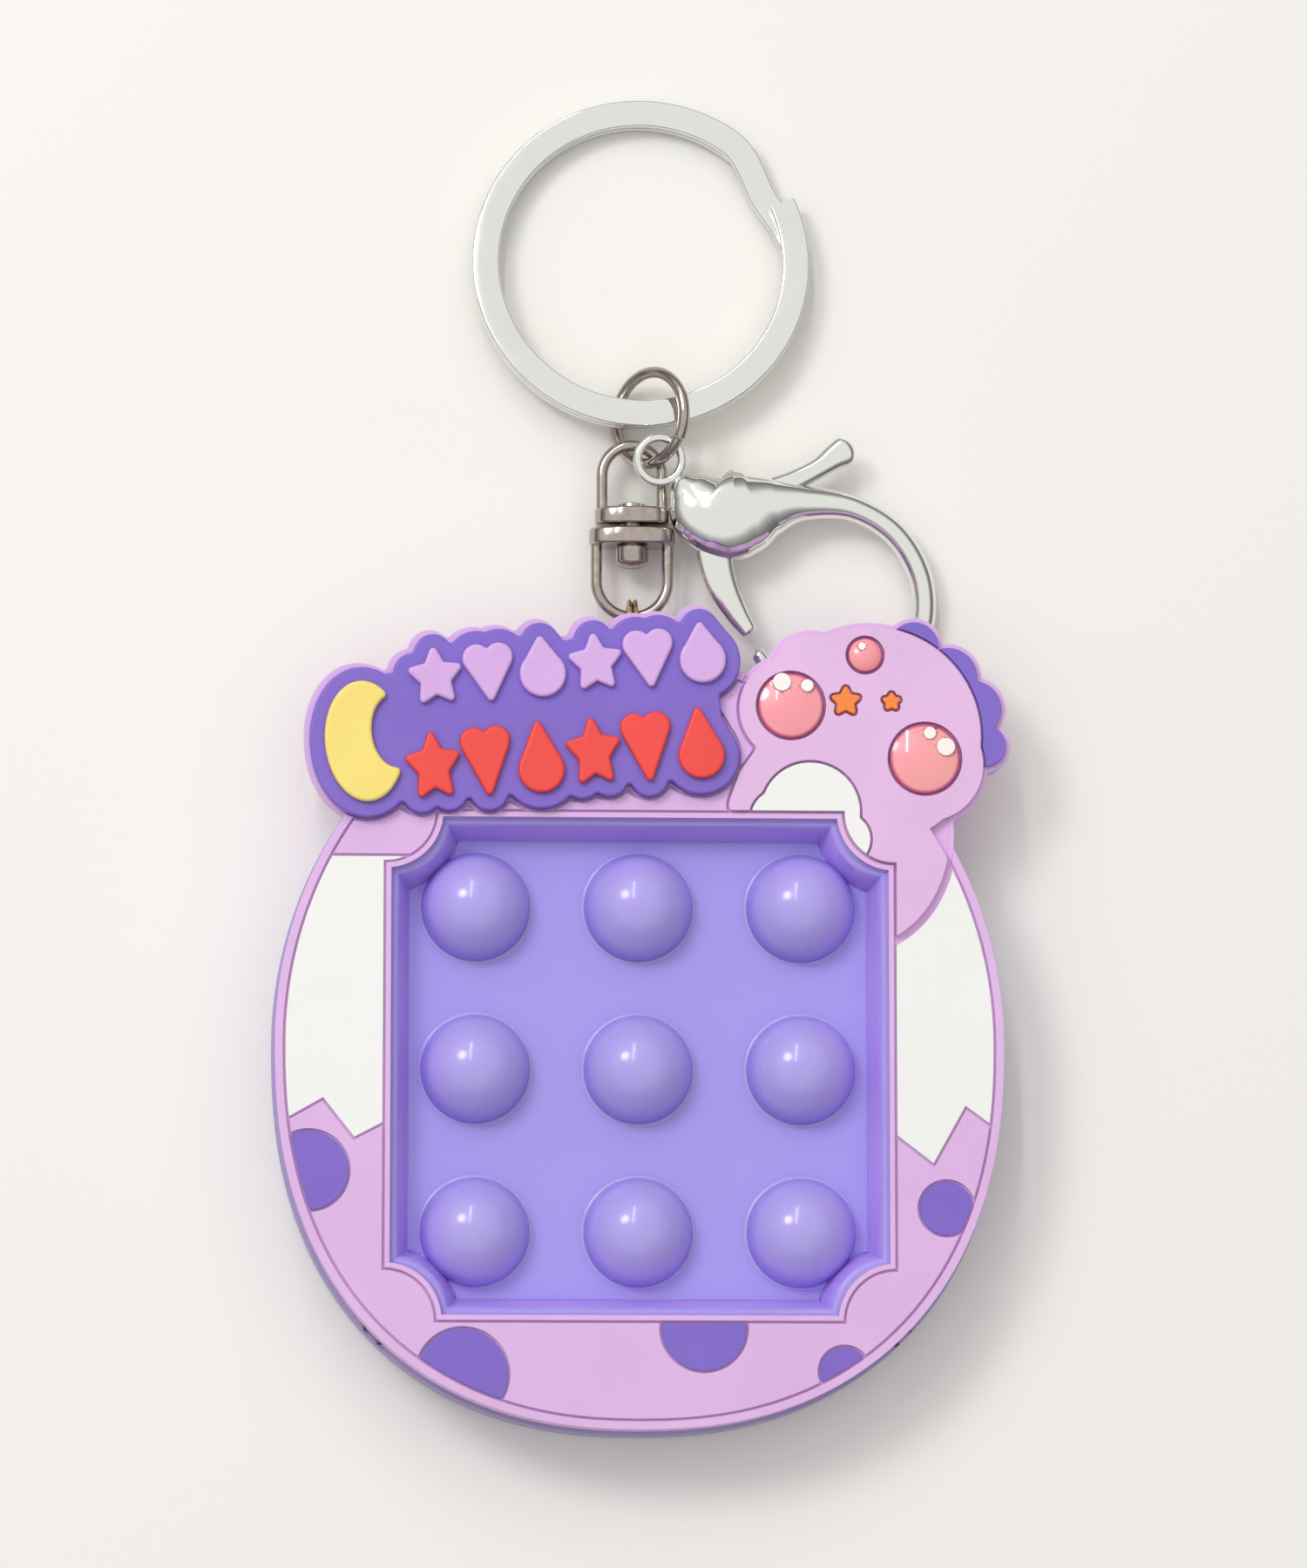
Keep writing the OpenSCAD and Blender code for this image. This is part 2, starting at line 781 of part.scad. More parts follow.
// Stations along the body: [x, y, half width, half thickness].
clasp_stations = concat(
  [[1.75, -1.35, 0.5, 0.55], [2.5, -2.5, 2, 1.35], [3.9, -4, 3.45, 2.15], [6, -4.75, 4.1, 2.5],
   [8, -4.5, 3.7, 2.35], [10.2, -3.9, 2.6, 1.9], [13, -3.55, 1.6, 1.45]],
  [for (s = [[74, 0, 1.16, 1.2], [45, 0, 1.1, 1.15], [15, 0, 1.08, 1.15], [-15, 0, 1.05, 1.1],
             [-45, -0.25, 1, 1.05], [-75, -0.7, 0.9, 0.95], [-105, -1.05, 0.78, 0.85],
             [-128, -1.25, 0.7, 0.75], [-146, -1.35, 0.62, 0.65]])
    let (p = on_hook(s[0], hook_r + s[1])) [p[0], p[1], s[2], s[3]]]
);

function curve_point(p, q, r, s, t) =
  0.5 * (2 * q + (r - p) * t + (2 * p - 5 * q + 4 * r - s) * t * t + (3 * q - p - 3 * r + s) * t * t * t);

// Points on the smooth curve through a list of stations, `per` to each span.
function smooth_path(list, per) = [
  for (i = [0 : len(list) - 2]) for (k = [0 : per - 1])
    curve_point(list[max(i - 1, 0)], list[i], list[i + 1], list[min(i + 2, len(list) - 1)], k / per),
  list[len(list) - 1]
];

// Oval rings across a flat path: half width in the plane, half thickness across it.
function oval_rings(path, sides) = [
  for (i = [0 : len(path) - 1])
    let (a = path[max(i - 1, 0)], b = path[min(i + 1, len(path) - 1)], p = path[i],
         d = [b[0] - a[0], b[1] - a[1]] / norm([b[0] - a[0], b[1] - a[1]]))
      [for (k = [0 : sides - 1])
        let (c = cos(k * 360 / sides), s = sin(k * 360 / sides))
          [p[0] - d[1] * p[2] * c, p[1] + d[0] * p[2] * c, p[3] * s]]
];

// Puts a piece from the clasp's own frame onto the chain.
module in_clasp() {
  away = [hook_at[0], hook_at[1]] / norm(hook_at);
  translate([eye_x, eye_y, eye_z])
    rotate(a = clasp_lean, v = [-away[1], away[0], 0])
      children();
}

// Round bar between two points in the clasp's plane.
module bar(p, q, rp, rq) {
  hull() {
    translate(p) circle(r = rp, $fn = 32);
    translate(q) circle(r = rq, $fn = 32);
  }
}

thumb_bend = [13.2, -1.3];
thumb_tip = [16.4, 1.2];
gate_bend = [5.6, -11];
gate_tip = [8, -15];

module lever_outline() {
  bar(pin_at, thumb_bend, 1.7, 0.95);
  bar(thumb_bend, thumb_tip, 0.95, 1.3);
  bar(pin_at, gate_bend, 1.7, 1.35);
  bar(gate_bend, gate_tip, 1.35, 0.75);
}

// Everything the lever sweeps as it turns, with clearance, as a fan of polygons round the pin.
module slot_outline() {
  translate(pin_at) circle(r = 2.1, $fn = smooth);
  for (arm = [[thumb_bend - pin_at, 1.55], [gate_bend - pin_at, 2.1]]) {
    reach = 12;
    start = atan2(arm[0][1], arm[0][0]);
    side = arm[1];
    translate(pin_at) {
      rotate(start) translate([0, -side]) square([reach, 2 * side]);
      rotate(start + lever_turn) translate([0, -side]) square([reach, 2 * side]);
      polygon(concat([[0, 0]], [for (k = [0 : 4]) reach * [cos(start + k * lever_turn / 4),
                                                            sin(start + k * lever_turn / 4)]]));
    }
  }
}

module clasp_body() {
  slot = lever_t + 2 * slot_gap;
  color(steel)
    in_clasp()
      difference() {
        union() {
          skin(oval_rings(smooth_path(clasp_stations, 3), 20));
          translate([0, 0, -eye_t / 2]) cylinder(r = eye_r, h = eye_t, $fn = smooth);
        }
        translate([0, 0, -2]) cylinder(r = eye_hole_r, h = 4, $fn = smooth);
        translate([0, 0, -slot / 2]) linear_extrude(slot) slot_outline();
        translate([pin_at[0], pin_at[1], -5]) cylinder(r = pin_r, h = 10, $fn = smooth);
      }
}

module clasp_lever() {
  spring_pocket_r = 1.25;
  color(steel)
    in_clasp()
      difference() {
        translate([0, 0, -lever_t / 2]) linear_extrude(lever_t) lever_outline();
        translate([pin_at[0], pin_at[1], -5]) cylinder(r = pin_r + pin_gap, h = 10, $fn = smooth);
        translate([pin_at[0], pin_at[1], 0]) cylinder(r = spring_pocket_r, h = 5, $fn = smooth);
      }
}

module clasp_pin() {
  color(steel) in_clasp() translate([pin_at[0], pin_at[1], -2.2]) cylinder(r = pin_r, h = 4.4, $fn = smooth);
}

// Two turns of fine wire round the pin, in the pocket of the lever's hub.
module clasp_spring() {
  wire = 0.25;
  color(nickel)
    in_clasp()
      for (k = [0, 1])
        translate([pin_at[0], pin_at[1], 0.2 + k * (wire + 0.05)]) torus(pin_r + 0.35, wire);
}

back_frame();
bubble_mat();
front_frame();
bubble_crown(0);  // bubble_crown_1
bubble_crown(1);  // bubble_crown_2
bubble_crown(2);  // bubble_crown_3
bubble_crown(3);  // bubble_crown_4
bubble_crown(4);  // bubble_crown_5
bubble_crown(5);  // bubble_crown_6
bubble_crown(6);  // bubble_crown_7
bubble_crown(7);  // bubble_crown_8
bubble_crown(8);  // bubble_crown_9
lilac_fill();
white_panel_left();
white_panel_right();
purple_spots();
sign_face();
sign_moon();
sign_lilac_shapes();
sign_red_shapes();
cloud_fill();
cloud_ridge();
white_puff();
glossy_balls();
ball_glints();
orange_stars();
tab_ring();
swivel_lower_loop();
swivel_upper_loop();
swivel_rivet();
jump_ring();
split_ring();
clasp_body();
clasp_lever();
clasp_pin();
clasp_spring();
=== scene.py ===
import json
from math import radians

import bmesh
import bpy
import numpy as np
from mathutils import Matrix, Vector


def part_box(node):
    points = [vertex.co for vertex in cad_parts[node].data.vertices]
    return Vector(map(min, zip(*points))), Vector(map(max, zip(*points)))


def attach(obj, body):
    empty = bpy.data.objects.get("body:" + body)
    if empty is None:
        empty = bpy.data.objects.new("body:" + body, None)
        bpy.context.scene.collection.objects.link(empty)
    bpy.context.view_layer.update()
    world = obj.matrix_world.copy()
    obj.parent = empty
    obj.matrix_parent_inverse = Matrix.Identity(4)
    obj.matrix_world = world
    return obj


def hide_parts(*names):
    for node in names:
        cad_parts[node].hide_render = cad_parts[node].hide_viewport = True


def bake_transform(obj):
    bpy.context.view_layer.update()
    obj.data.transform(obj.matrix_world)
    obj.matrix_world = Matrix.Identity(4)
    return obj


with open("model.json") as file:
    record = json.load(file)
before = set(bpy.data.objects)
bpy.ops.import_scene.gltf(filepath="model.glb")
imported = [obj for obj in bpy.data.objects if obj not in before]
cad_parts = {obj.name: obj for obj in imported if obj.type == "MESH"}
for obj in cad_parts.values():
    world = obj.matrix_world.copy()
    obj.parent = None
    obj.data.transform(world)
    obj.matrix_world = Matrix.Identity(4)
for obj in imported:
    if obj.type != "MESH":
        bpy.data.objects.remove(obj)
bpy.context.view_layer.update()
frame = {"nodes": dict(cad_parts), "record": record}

# ---------- Table, light and camera ----------
# The keychain lies on its back on a pale matt table. A round lamp and a narrow strip stand at the
# upper left, and a pale room fills in the rest, bright overhead and darkest at the horizon.
MM = 0.001
joints = {joint["name"]: joint for joint in frame["record"]["behaviour"]["joints"]}


def linear(code):
    """sRGB hex to linear: ((c + 0.055) / 1.055) ** 2.4, or c / 12.92 for the darkest tones."""
    c = np.array([int(code[i : i + 2], 16) for i in (1, 3, 5)]) / 255
    c = np.where(c > 0.04045, ((c + 0.055) / 1.055) ** 2.4, c / 12.92)
    return (*c.tolist(), 1.0)


def box_mm(node):
    """The two corners of a CAD node's box, in mm."""
    return [np.array(corner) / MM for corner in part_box(node)]


def add_node(tree, kind, links=(), inputs=(), **settings):
    """A node with its settings, its sockets' own values, and links into it as (socket, node, output)."""
    node = tree.nodes.new(kind)
    for key, value in settings.items():
        setattr(node, key, value)
    for key, value in dict(inputs).items():
        node.inputs[key].default_value = value
    for socket, source, output in links:
        tree.links.new(source.outputs[output], node.inputs[socket])
    return node


def new_material(name):
    """A material with an empty node tree."""
    material = bpy.data.materials.new(name)
    material.use_nodes = True
    material.node_tree.nodes.clear()
    return material, material.node_tree


def matt_table():
    """Painted board: a broad, faint unevenness in tone, so that it isn't one flat colour."""
    material, tree = new_material("painted_table_board")
    place = add_node(tree, "ShaderNodeTexCoord")
    cloud = add_node(tree, "ShaderNodeTexNoise", [("Vector", place, "Object")],
                     {"Scale": 9.0, "Detail": 2.0})
    tone = add_node(tree, "ShaderNodeValToRGB", [("Fac", cloud, "Fac")])
    tone.color_ramp.elements[0].color = linear("#f4f2ed")
    tone.color_ramp.elements[1].color = linear("#f7f5f1")
    board = add_node(tree, "ShaderNodeBsdfPrincipled", [("Base Color", tone, "Color")],
                     {"Roughness": 0.85, "Specular IOR Level": 0.2})
    add_node(tree, "ShaderNodeOutputMaterial", [("Surface", board, "BSDF")])
    return material


TABLE_SIZE = 6.0
bpy.ops.mesh.primitive_plane_add(size=TABLE_SIZE, location=(0, 0, 0))
table = bpy.context.object
table.name = "table_top"
table.data.materials.append(matt_table())

world = bpy.data.worlds.new("pale_room")
bpy.context.scene.world = world
world.use_nodes = True
room = world.node_tree
room.nodes.clear()
direction = add_node(room, "ShaderNodeTexCoord")
BRIGHT_SIDE = (-0.10, 0.17, 0.98)
lean = add_node(room, "ShaderNodeVectorMath", [(0, direction, "Generated")], {1: BRIGHT_SIDE},
                operation="DOT_PRODUCT")
level = add_node(room, "ShaderNodeValToRGB", [("Fac", lean, "Value")])
LEVELS = [(0.0, 0.15), (0.30, 0.24), (0.52, 0.46), (0.68, 0.93), (1.0, 0.93)]
while len(level.color_ramp.elements) < len(LEVELS):
    level.color_ramp.elements.new(0.5)
for stop, (place, grey) in zip(level.color_ramp.elements, LEVELS):
    stop.position, stop.color = place, (grey, grey, grey, 1)
ROOM_AIR = linear("#fbfaf8")
shade = add_node(room, "ShaderNodeBackground", [("Strength", level, "Color")], {"Color": ROOM_AIR})
backdrop = add_node(room, "ShaderNodeBackground", (), {"Color": linear("#f5f3ef"), "Strength": 1.0})
ray = add_node(room, "ShaderNodeLightPath")
choose = add_node(room, "ShaderNodeMixShader", [(0, ray, "Is Camera Ray"), (1, shade, "Background"),
                                                (2, backdrop, "Background")])
add_node(room, "ShaderNodeOutputWorld", [("Surface", choose, "Shader")])


def looking(name, data, place, target):
    """Lamp or camera at a place, turned to look at a target, with the object's top end up."""
    item = bpy.data.objects.new(name, data)
    bpy.context.collection.objects.link(item)
    back = np.array(place, float) - np.array(target, float)
    back /= np.linalg.norm(back)
    side = np.cross((0, 1, 0), back)
    side /= np.linalg.norm(side)
    matrix = np.eye(4)
    for column, axis in enumerate((side, np.cross(back, side), back, place)):
        matrix[:3, column] = axis
    item.matrix_world = matrix.T.tolist()
    return item


LAMP_DISTANCE = 0.75
LAMPS = [
    # name, direction from the body's middle, shape, width and length in m, power in W
    ("round_lamp", (-0.473, 0.415, 0.773), "DISK", 0.22, 0.22, 1.35),
    ("strip_lamp", (-0.18, 0.567, 0.80), "RECTANGLE", 0.024, 0.5, 0.75),
]
for name, toward, shape, width, length, power in LAMPS:
    light = bpy.data.lights.new(name, "AREA")
    light.shape = shape
    light.size = width
    light.size_y = length
    light.energy = power
    looking(name, light, LAMP_DISTANCE * np.array(toward) / np.linalg.norm(toward), (0, 0, 0))

PICTURE_MIDDLE = (1.4 * MM, 25.3 * MM, 4.0 * MM)
CAMERA_AT = (-29 * MM, -56 * MM, 600 * MM)
camera_data = bpy.data.cameras.new("camera")
camera_data.sensor_width = 36
camera_data.lens = 157.5
bpy.context.scene.camera = looking("camera", camera_data, CAMERA_AT, PICTURE_MIDDLE)
bpy.context.scene.view_settings.view_transform = "Standard"

# ---------- Back moulding and lilac front moulding ----------
# Two egg-shaped trays of moulded soft PVC that grip the silicone between them. The front one also
# carries the window's rim, the raised edge and the bases of the sign and the badge.


def soft_pvc(name, colour, roughness=0.47, mottle=0.035, cloud_mm=9.0, grain_mm=0.35, shoulder_mm=0.09):
    """Moulded or poured soft PVC: satin, a little translucent, with faint clouds in the pigment and a
    fine grain from the mould. The grain is drawn several times coarser than the real one, to show.
    Thin edges are eased to a shoulder by turning the normals next to them."""
    material, tree = new_material(name)
    place = add_node(tree, "ShaderNodeTexCoord")
    cloud = add_node(tree, "ShaderNodeTexNoise", [("Vector", place, "Object")],
                     {"Scale": 1 / (cloud_mm * MM), "Detail": 3.0})
    base = linear(colour)
    tone = add_node(tree, "ShaderNodeValToRGB", [("Fac", cloud, "Fac")])
    tone.color_ramp.elements[0].position, tone.color_ramp.elements[1].position = 0.3, 0.7
    tone.color_ramp.elements[0].color = (*[max(c * (1 - mottle), 0) for c in base[:3]], 1)
    tone.color_ramp.elements[1].color = (*[min(c * (1 + mottle), 1) for c in base[:3]], 1)
    grain = add_node(tree, "ShaderNodeTexNoise", [("Vector", place, "Object")],
                     {"Scale": 1 / (grain_mm * MM), "Detail": 2.0})
    sheen = add_node(tree, "ShaderNodeMapRange", [("Value", cloud, "Fac")],
                     {"To Min": roughness - 0.05, "To Max": roughness + 0.06})
    shoulder = add_node(tree, "ShaderNodeBevel", (), {"Radius": shoulder_mm * MM}, samples=6)
    bump = add_node(tree, "ShaderNodeBump", [("Height", grain, "Fac"), ("Normal", shoulder, "Normal")],
                    {"Strength": 0.35, "Distance": 0.012 * MM})
    skin = add_node(tree, "ShaderNodeBsdfPrincipled",
                    [("Base Color", tone, "Color"), ("Roughness", sheen, "Result"),
                     ("Normal", bump, "Normal")],
                    {"IOR": 1.5, "Subsurface Weight": 0.12, "Subsurface Radius": (1.0, 0.6, 0.9),
                     "Subsurface Scale": 0.4 * MM})
    add_node(tree, "ShaderNodeOutputMaterial", [("Surface", skin, "BSDF")])
    return material


def finish_piece(obj, material, body, slot, *nodes):
    """Gives a piece its material, the body that it rides on and the CAD nodes it stands for. Its slot is not
    used.
    """
    obj.data.materials.clear()
    obj.data.materials.append(material)
    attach(obj, body)
    if nodes:
        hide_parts(*nodes)
    return obj


def smooth_object(mesh, sharp_degrees=None):
    """Object of a mesh, shaded smooth across all edges, or all but those past an angle."""
    mesh.polygons.foreach_set("use_smooth", np.ones(len(mesh.polygons), bool))
    if sharp_degrees:
        mesh.set_sharp_from_angle(angle=radians(sharp_degrees))
    obj = bpy.data.objects.new(mesh.name, mesh)
    bpy.context.collection.objects.link(obj)
    return obj


def cad_copy(node, prefix, merge_mm, flat_degrees=None):
    """Mesh of a CAD piece with its loose triangles joined, and where an angle is given, with its flat
    faces made whole."""
    mesh = frame["nodes"][node].data.copy()
    mesh.name = prefix + node
    form = bmesh.new()
    form.from_mesh(mesh)
    bmesh.ops.remove_doubles(form, verts=form.verts, dist=merge_mm * MM)
    if flat_degrees:
        bmesh.ops.dissolve_limit(form, angle_limit=radians(flat_degrees), verts=form.verts, edges=form.edges)
    form.to_mesh(mesh)
    form.free()
    if mesh.has_custom_normals:
        mesh.attributes.remove(mesh.attributes["custom_normal"])
    return mesh


def eased(node, width_mm, steps=3):
    """A copy of a thick moulded piece, its edges eased to a radius."""
    obj = smooth_object(cad_copy(node, "eased_", merge_mm=0.004, flat_degrees=0.6))
    edge = obj.modifiers.new("eased_edges", "BEVEL")
    edge.width = width_mm * MM
    edge.segments = steps
    edge.limit_method = "ANGLE"
    edge.angle_limit = radians(42)
    edge.use_clamp_overlap = False
    edge.harden_normals = True
    return obj


def carried_over(node):
    """A copy of a thin moulded piece as it is, smooth across all but its sharp edges."""
    return smooth_object(cad_copy(node, "moulded_", merge_mm=0.002), sharp_degrees=30)


PURPLE = "#8166cc"
BACK_EDGE = 0.25
lilac_mould = soft_pvc("lilac_soft_pvc_moulded", "#e3b9ea")
back_mould = soft_pvc("grey_lavender_soft_pvc_moulded", "#a79acb")
finish_piece(eased("back_frame", BACK_EDGE), back_mould, "toy", "back_pvc", "back_frame")
finish_piece(carried_over("front_frame"), lilac_mould, "toy", "lilac_pvc", "front_frame")

# ---------- Poured colour areas ----------
# Liquid PVC poured into the front moulding's pockets, one colour at a time, and baked: flat tops with
# rounded shoulders, and a fine engraved line left between two colours.
lilac_pour = soft_pvc("lilac_soft_pvc_poured", "#e2b8e9", roughness=0.42)
white_pour = soft_pvc("white_soft_pvc_poured", "#f6f6f3", roughness=0.4, mottle=0.008)
purple_pour = soft_pvc("purple_soft_pvc_poured", PURPLE, roughness=0.42)
badge_pour = soft_pvc("pale_lilac_soft_pvc_poured", "#e7bde8", roughness=0.42)
POURED = [
    ("lilac_fill", lilac_pour, "lilac_pvc"),
    ("white_panel_left", white_pour, "white_pvc"),
    ("white_panel_right", white_pour, "white_pvc"),
    ("purple_spots", purple_pour, "purple_pvc"),
    ("cloud_fill", badge_pour, "lilac_pvc"),
    ("cloud_ridge", purple_pour, "purple_pvc"),
    ("white_puff", white_pour, "white_pvc"),
]
for node, material, slot in POURED:
    finish_piece(carried_over(node), material, "toy", slot, node)

# ---------- Raised sign ----------
# A thick purple plate on a lilac base, with soft raised shapes poured on top of it: a yellow moon and
# two rows of lilac and red stars, hearts and drops.
yellow_pour = soft_pvc("yellow_soft_pvc_poured", "#fbe27a", roughness=0.4)
lilac_shape_pour = soft_pvc("pale_lilac_shape_pvc", "#dbb0ea", roughness=0.4)
red_pour = soft_pvc("red_soft_pvc_poured", "#f4473f", roughness=0.4)
SHAPES = [
    # node, material, slot, edge radius in mm
    ("sign_face", purple_pour, "purple_pvc", 0.22),
    ("sign_moon", yellow_pour, "yellow_pvc", 0.3),
    ("sign_lilac_shapes", lilac_shape_pour, "pale_lilac_pvc", 0.28),
    ("sign_red_shapes", red_pour, "red_pvc", 0.28),
]
for node, material, slot, radius in SHAPES:
    finish_piece(eased(node, radius, steps=4), material, "toy", slot, node)

# ---------- Balls, beads and stars on the badge ----------
# Glossy domed discs of clear-coated resin with small white beads let into them, and orange stars let
# into the badge. All are small, so their edges get one small radius.


RIM_BLUR = 0.03


def glossy_resin(name, colour, second, rim, rim_top):
    """Domed resin: a clear coat over a pigment that pales towards one side, with a deeper colour in a rim
    below a height in mm."""
    material, tree = new_material(name)
    place = add_node(tree, "ShaderNodeTexCoord")
    cloud = add_node(tree, "ShaderNodeTexNoise", [("Vector", place, "Object")],
                     {"Scale": 1 / (4 * MM), "Detail": 1.0})
    tone = add_node(tree, "ShaderNodeValToRGB", [("Fac", cloud, "Fac")])
    tone.color_ramp.elements[0].position, tone.color_ramp.elements[1].position = 0.35, 0.65
    tone.color_ramp.elements[0].color = linear(colour)
    tone.color_ramp.elements[1].color = linear(second)
    axes = add_node(tree, "ShaderNodeSeparateXYZ", [("Vector", place, "Object")])
    inner = add_node(tree, "ShaderNodeMapRange", [("Value", axes, "Z")],
                     {"From Min": (rim_top - RIM_BLUR) * MM, "From Max": (rim_top + RIM_BLUR) * MM})
    paint = add_node(tree, "ShaderNodeMix", [("Factor", inner, "Result"), (7, tone, "Color")],
                     {6: linear(rim)}, data_type="RGBA")
    resin = add_node(tree, "ShaderNodeBsdfPrincipled", [("Base Color", paint, 2)],
                     {"Roughness": 0.28, "IOR": 1.5, "Coat Weight": 0.9, "Coat Roughness": 0.06})
    add_node(tree, "ShaderNodeOutputMaterial", [("Surface", resin, "BSDF")])
    return material


BADGE_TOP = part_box("cloud_fill")[1].z / MM
SMALL_EDGE = 0.1
RIM_SHOWS = 0.07
pink_resin = glossy_resin("pink_doming_resin", "#ff9ba6", "#fda9a6", "#cf4c7c", BADGE_TOP + RIM_SHOWS)
white_resin = glossy_resin("white_doming_resin", "#fffdfb", "#fff6f4", "#ffe6ea", BADGE_TOP)
orange_pour = soft_pvc("orange_soft_pvc_poured", "#ff8a38", roughness=0.4)
FITTINGS = [
    ("glossy_balls", pink_resin, "pink_gloss"),
    ("ball_glints", white_resin, "white_pvc"),
    ("orange_stars", orange_pour, "orange_pvc"),
]
for node, material, slot in FITTINGS:
    finish_piece(eased(node, SMALL_EDGE), material, "toy", slot, node)

# ---------- Silicone mat ----------
# One thin moulding of satin silicone: a floor with a fine groove round it, and sloped sides up to a
# narrow lip under the window's rim. Its bubbles are the next section.
crown_high = box_mm("bubble_crown_5")[1]
TOP_Z = crown_high[2]
PITCH = box_mm("bubble_crown_3")[1][0] - crown_high[0]
FLOOR_Z = 5.0
SHEET = 0.8
WINDOW_HALF, WINDOW_BITE = 21.58, 5.0
BITE_OUTSIDE = 0.1
FLOOR_INSET = 1.6
FLOOR_HALF = WINDOW_HALF - FLOOR_INSET
UNDER_HALF, UNDER_BITE = 21.0, 0.01
FOOT_R = 5.02
AROUND = 96
MERGE = 0.0005 * MM


def surface(name, grid, wrap_rows=False, ends=False, sharp_degrees=None):
    """Mesh on a grid of points, in mm: cell (i, k) is the face between rows i and i + 1 and columns k
    and k + 1, the last column meeting the first. Rows that shrink to a point are merged, and faces are
    turned outwards."""
    grid = np.asarray(grid, float)
    rows, columns = grid.shape[:2]
    i = np.arange(rows if wrap_rows else rows - 1)[:, None]
    k = np.arange(columns)[None, :]
    i, k = np.broadcast_arrays(i, k)
    i2, k2 = (i + 1) % rows, (k + 1) % columns
    quads = np.stack([i * columns + k, i * columns + k2, i2 * columns + k2, i2 * columns + k], -1)
    faces = quads.reshape(-1, 4).tolist()
    if ends:
        faces += [list(range(columns))[::-1], list(range((rows - 1) * columns, rows * columns))]
    mesh = bpy.data.meshes.new(name)
    mesh.from_pydata((grid.reshape(-1, 3) * MM).tolist(), [], faces)
    form = bmesh.new()
    form.from_mesh(mesh)
    bmesh.ops.remove_doubles(form, verts=form.verts, dist=MERGE)
    bmesh.ops.recalc_face_normals(form, faces=form.faces)
    form.to_mesh(mesh)
    form.free()
    return smooth_object(mesh, sharp_degrees)


def joined(name, parts, sharp_degrees=None):
    """Several meshes as one piece, their meeting points merged."""
    form = bmesh.new()
    for part in parts:
        form.from_mesh(part.data)
        bpy.data.objects.remove(part)
    bmesh.ops.remove_doubles(form, verts=form.verts, dist=MERGE)
    mesh = bpy.data.meshes.new(name)
    form.to_mesh(mesh)
    form.free()
    return smooth_object(mesh, sharp_degrees)


def bitten_outline(half, bite, arc_steps=24, side_steps=6):
    """Square outline whose corners are bitten by circles centred a little outside them, by a share of
    the bite: each quarter is a straight side and then an arc run backwards, and it is turned a quarter
    four times."""
    middle = half + BITE_OUTSIDE * bite
    end = middle - np.sqrt(bite**2 - (BITE_OUTSIDE * bite) ** 2)
    side = np.stack([np.full(side_steps, half), np.linspace(-end, end, side_steps)], -1)
    short = np.degrees(np.arcsin(BITE_OUTSIDE))
    a = np.radians(np.linspace(270 - short, 180 + short, arc_steps + 1)[1:-1])
    arc = middle + bite * np.stack([np.cos(a), np.sin(a)], -1)
    quarter = np.concatenate([side, arc])
    turns = [np.array([[np.cos(t), np.sin(t)], [-np.sin(t), np.cos(t)]]) for t in np.arange(4) * np.pi / 2]
    return np.concatenate([quarter @ turn for turn in turns])


def silicone(name, colour, slope_painted_shading, steep_z=0.15, flat_z=0.85, roughness=0.3, polish=0.0):
    """Moulded silicone rubber: satin, translucent. Steep sides are painted another colour than flats, as
    painted shading.
    A faint bloom of dust in the mould gives small changes in gloss."""
    material, tree = new_material(name)
    place = add_node(tree, "ShaderNodeTexCoord")
    bloom = add_node(tree, "ShaderNodeTexNoise", [("Vector", place, "Object")],
                     {"Scale": 1 / (6 * MM), "Detail": 4.0})
    # Painted shading: the colour runs from the slope colour on steep faces to the own colour on faces that
    # look up.
    shape = add_node(tree, "ShaderNodeNewGeometry")
    steep = add_node(tree, "ShaderNodeSeparateXYZ", [("Vector", shape, "Normal")])
    flat = add_node(tree, "ShaderNodeMapRange", [("Value", steep, "Z")],
                    {"From Min": steep_z, "From Max": flat_z, "To Min": 0.0, "To Max": 1.0})
    tone = add_node(tree, "ShaderNodeValToRGB", [("Fac", flat, "Result")])
    tone.color_ramp.elements[0].color = linear(slope_painted_shading)
    tone.color_ramp.elements[1].color = linear(colour)
    sheen = add_node(tree, "ShaderNodeMapRange", [("Value", bloom, "Fac")],
                     {"To Min": roughness - 0.03, "To Max": roughness + 0.06})
    grain = add_node(tree, "ShaderNodeTexNoise", [("Vector", place, "Object")],
                     {"Scale": 1 / (0.3 * MM), "Detail": 2.0})
    bump = add_node(tree, "ShaderNodeBump", [("Height", grain, "Fac")],
                    {"Strength": 0.3, "Distance": 0.008 * MM})
    rubber = add_node(tree, "ShaderNodeBsdfPrincipled",
                      [("Base Color", tone, "Color"), ("Roughness", sheen, "Result"),
                       ("Normal", bump, "Normal")],
                      {"IOR": 1.45, "Subsurface Weight": 0.2, "Subsurface Radius": (0.9, 0.6, 1.6),
                       "Subsurface Scale": 0.5 * MM, "Coat Weight": polish, "Coat Roughness": 0.12})
    add_node(tree, "ShaderNodeOutputMaterial", [("Surface", rubber, "BSDF")])
    return material


# The mat's steep walls are painted paler and richer than its floor: painted light on walls that lie in shade.
purple_silicone = silicone("purple_silicone_moulded", "#ab9cec", "#c29ff6")

